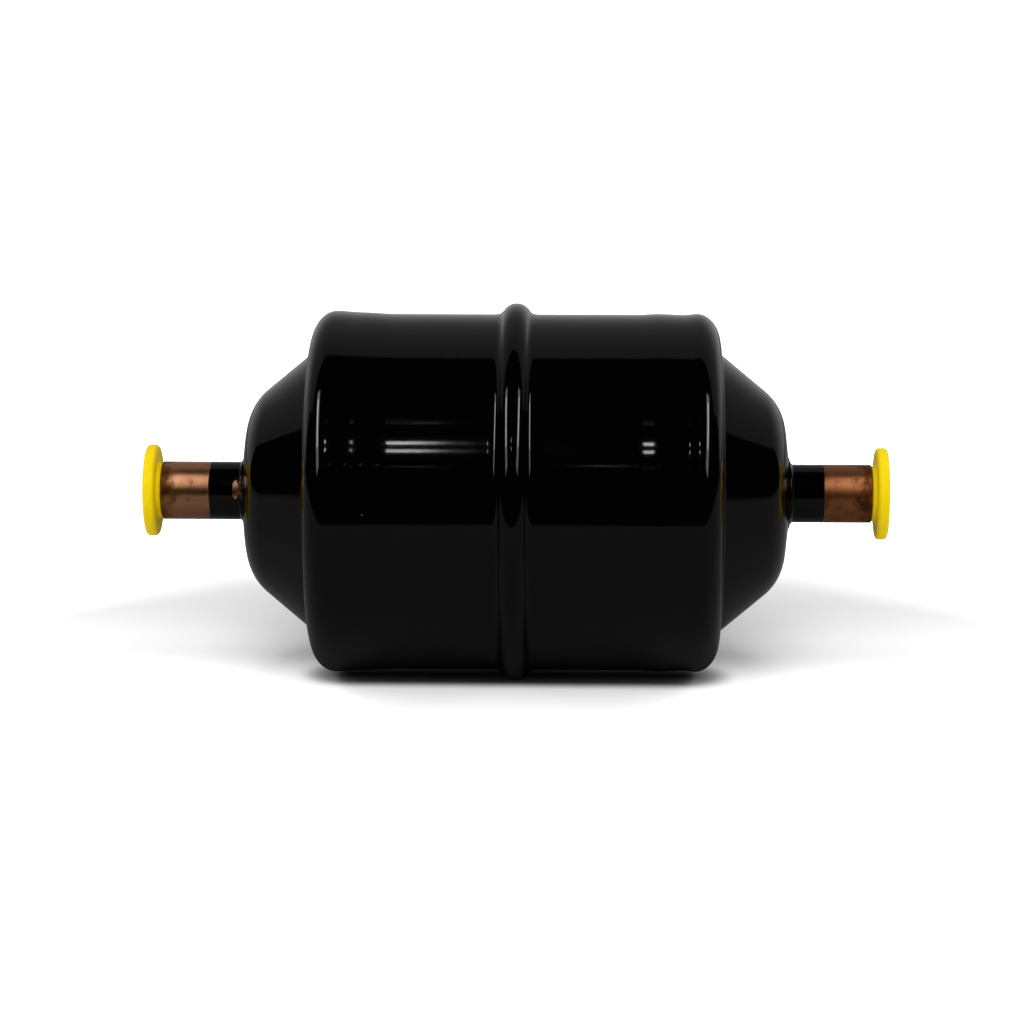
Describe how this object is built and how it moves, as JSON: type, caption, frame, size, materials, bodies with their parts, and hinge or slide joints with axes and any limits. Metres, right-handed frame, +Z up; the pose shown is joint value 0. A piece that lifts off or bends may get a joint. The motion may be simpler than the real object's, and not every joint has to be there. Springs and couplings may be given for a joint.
{
  "type": "filter drier",
  "caption": "Sealed steel cylinder with cone ends, a moulded drying core inside and a copper solder stub at each end, closed by pull-off plugs, for a refrigerant liquid line.",
  "frame": {"origin": "on the flow axis, in the plane of the girth weld, midway between the two plug faces", "axes": "+X along the flow, from the inlet stub to the outlet stub; +Z up as it lies"},
  "size_m": [0.1584, 0.0808, 0.0808],
  "materials": {
    "black_paint": "gloss black powder coat",
    "copper": "drawn copper, dulled in places, painted black beside the shell",
    "braze": "brazing alloy under the paint",
    "plug_yellow": "moulded soft plastic, satin",
    "spring_steel": "drawn wire",
    "pressed_steel": "plain pressed sheet",
    "wire_cloth": "woven wire",
    "felt": "needled felt",
    "filter_fibre": "bonded fibre mat",
    "core_block": "porous moulded block"
  },
  "bodies": {
    "drier": {"inlet_half_shell": "black_paint", "outlet_half_shell": "black_paint", "girth_weld": "black_paint", "inlet_stub": "copper", "outlet_stub": "copper", "inlet_braze_ring": "braze", "outlet_braze_ring": "braze", "core_spring": "spring_steel", "spring_plate": "pressed_steel", "inlet_pad": "felt", "desiccant_core": "core_block", "core_gasket": "felt", "upstream_screen": "wire_cloth", "filter_mat": "filter_fibre", "downstream_screen": "wire_cloth", "support_cup": "pressed_steel", "outlet_strainer": "wire_cloth"},
    "inlet_cap": {"inlet_cap": "plug_yellow"},
    "outlet_cap": {"outlet_cap": "plug_yellow"}
  },
  "joints": [
    {"name": "inlet_cap_pull", "type": "slide", "parent": "drier", "child": "inlet_cap", "axis": [-1, 0, 0], "range_m": [0, 0.035]},
    {"name": "outlet_cap_pull", "type": "slide", "parent": "drier", "child": "outlet_cap", "axis": [1, 0, 0], "range_m": [0, 0.035]}
  ]
}
